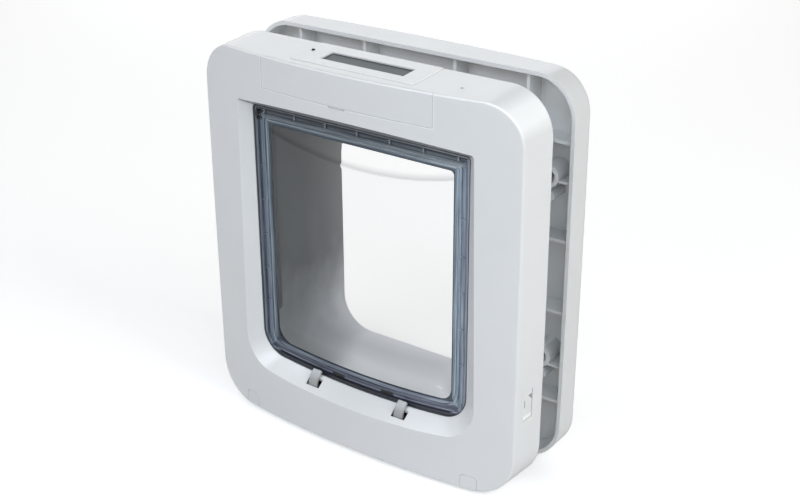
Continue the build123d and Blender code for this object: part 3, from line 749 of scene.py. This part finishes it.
def prism(corners, low, high):
    """A straight prism on the corners, given as (x, y) pairs."""

    def build(form):
        bottom = [form.verts.new((x, y, low)) for x, y in corners]
        top = [form.verts.new((x, y, high)) for x, y in corners]
        form.faces.new(bottom)
        form.faces.new(top)
        for i in range(len(corners)):
            j = (i + 1) % len(corners)
            form.faces.new((bottom[i], bottom[j], top[j], top[i]))

    return build


def disc(middle, radius, corners):
    turns = [2 * math.pi * i / corners for i in range(corners)]
    return [(middle[0] + radius * math.cos(a), middle[1] + radius * math.sin(a)) for a in turns]


low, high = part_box("light_sensor")
sensor_middle = ((low[0] + high[0]) / 2, (low[1] + high[1]) / 2)
sensor_round = disc(sensor_middle, SENSOR_RADIUS, SENSOR_CORNERS)
eye = new_piece("sensor_eye", prism(sensor_round, high[2] - SENSOR_SINK, PANEL_TOP), "motor_black", "unit")
soften(eye, SENSOR_EDGE)
# Thin grey triangle: painted shade of the small arrow moulded in the top
new_piece("top_arrow_shade", prism(MARK, TOP - MARK_SINK, TOP + MARK_RISE), "fascia_grey", "unit")

for side, name in ((-1, "left"), (1, "right")):
    middle = side * LATCH_SIDE - LATCH_SHIFT
    hook = new_piece(f"latch_{name}_hook", latch_form(middle), "latch_grey", "front_lock")
    soften(hook, LATCH_EDGE)
    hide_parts(f"front_latch_{name}")


# Studio
def area_light(name, place, size, power, colour=(1.0, 1.0, 1.0)):
    """A rectangular lamp aimed at the middle of the door."""
    data = bpy.data.lights.new(name, "AREA")
    data.shape = "RECTANGLE"
    data.size, data.size_y = size
    data.energy = power
    data.color = colour
    lamp = bpy.data.objects.new(name, data)
    lamp.location = place
    aim = Vector(MIDDLE) - Vector(place)
    lamp.rotation_euler = aim.to_track_quat("-Z", "Y").to_euler()
    bpy.context.scene.collection.objects.link(lamp)


def seen_directly(tree):
    """1 where the camera sees the surface, also through the pane, and 0 for all other rays."""
    path = tree.nodes.new("ShaderNodeLightPath")
    either = tree.nodes.new("ShaderNodeMath")
    either.operation = "MAXIMUM"
    tree.links.new(path.outputs["Is Camera Ray"], either.inputs[0])
    tree.links.new(path.outputs["Is Transmission Ray"], either.inputs[1])
    return either.outputs[0]


def white_world():
    """Even pale light, and pure white where the camera sees the background, also through the pane."""
    world = bpy.data.worlds.new("studio")
    bpy.context.scene.world = world
    world.use_nodes = True
    tree = world.node_tree
    base = tree.nodes["Background"]
    base.inputs["Color"].default_value = (*WORLD_COLOUR, 1.0)
    base.inputs["Strength"].default_value = WORLD_STRENGTH
    white = tree.nodes.new("ShaderNodeBackground")
    white.inputs["Strength"].default_value = 1.0
    mix = tree.nodes.new("ShaderNodeMixShader")
    tree.links.new(seen_directly(tree), mix.inputs[0])
    tree.links.new(base.outputs[0], mix.inputs[1])
    tree.links.new(white.outputs[0], mix.inputs[2])
    tree.links.new(mix.outputs[0], tree.nodes["World Output"].inputs["Surface"])


def pale_floor():
    """Floor that shows white with the object's soft shadow."""
    bpy.ops.mesh.primitive_plane_add(size=FLOOR_SIZE, location=(0, 0, -FLOOR_DROP))
    floor = bpy.context.object
    floor.name = "floor"
    material = bpy.data.materials.new("floor")
    material.use_nodes = True
    tree = material.node_tree
    shader = tree.nodes["Principled BSDF"]
    shader.inputs["Base Color"].default_value = (*FLOOR_GREY, 1.0)
    shader.inputs["Roughness"].default_value = 0.9
    shader.inputs["Specular IOR Level"].default_value = 0.0
    glow = tree.nodes.new("ShaderNodeEmission")
    glow.inputs["Color"].default_value = (1.0, 1.0, 1.0, 1.0)
    strength = tree.nodes.new("ShaderNodeMath")
    strength.operation = "MULTIPLY"
    strength.inputs[1].default_value = FLOOR_GLOW
    tree.links.new(seen_directly(tree), strength.inputs[0])
    tree.links.new(strength.outputs[0], glow.inputs["Strength"])
    both = tree.nodes.new("ShaderNodeAddShader")
    tree.links.new(shader.outputs[0], both.inputs[0])
    tree.links.new(glow.outputs[0], both.inputs[1])
    tree.links.new(both.outputs[0], tree.nodes["Material Output"].inputs["Surface"])
    floor.data.materials.append(material)


def photo_camera():
    """Camera at the photograph's place, fitted to the outlines of both frames."""
    data = bpy.data.cameras.new("camera")
    data.sensor_fit = "HORIZONTAL"
    data.sensor_width = SENSOR_WIDTH
    data.lens = SENSOR_WIDTH * FOCAL_PIXELS / PHOTO_WIDTH
    data.shift_x, data.shift_y = CAMERA_SHIFT
    data.clip_end = 50.0
    camera = bpy.data.objects.new("camera", data)
    camera.location = CAMERA_PLACE
    camera.rotation_euler = [math.radians(turn) for turn in CAMERA_DEGREES]
    bpy.context.scene.collection.objects.link(camera)
    bpy.context.scene.camera = camera


area_light("key", (1.15, -0.1, 0.8), (0.6, 0.9), 7.6)
area_light("side_fill", (0.8, -0.8, 1.0), (0.7, 0.7), 3.8, (0.66, 0.84, 1.0))
area_light("front_top", (-0.2, -0.9, 1.6), (1.6, 0.4), 5.3, (0.80, 0.86, 1.0))
area_light("front", (-0.3, -1.4, 1.05), (1.0, 0.5), 6.0, (0.84, 0.88, 0.98))
area_light("back_left", (-0.9, 1.3, 0.7), (1.2, 1.2), 6.0, (0.92, 0.96, 1.0))
white_world()
pale_floor()
photo_camera()
bpy.context.scene.view_settings.view_transform = "Standard"
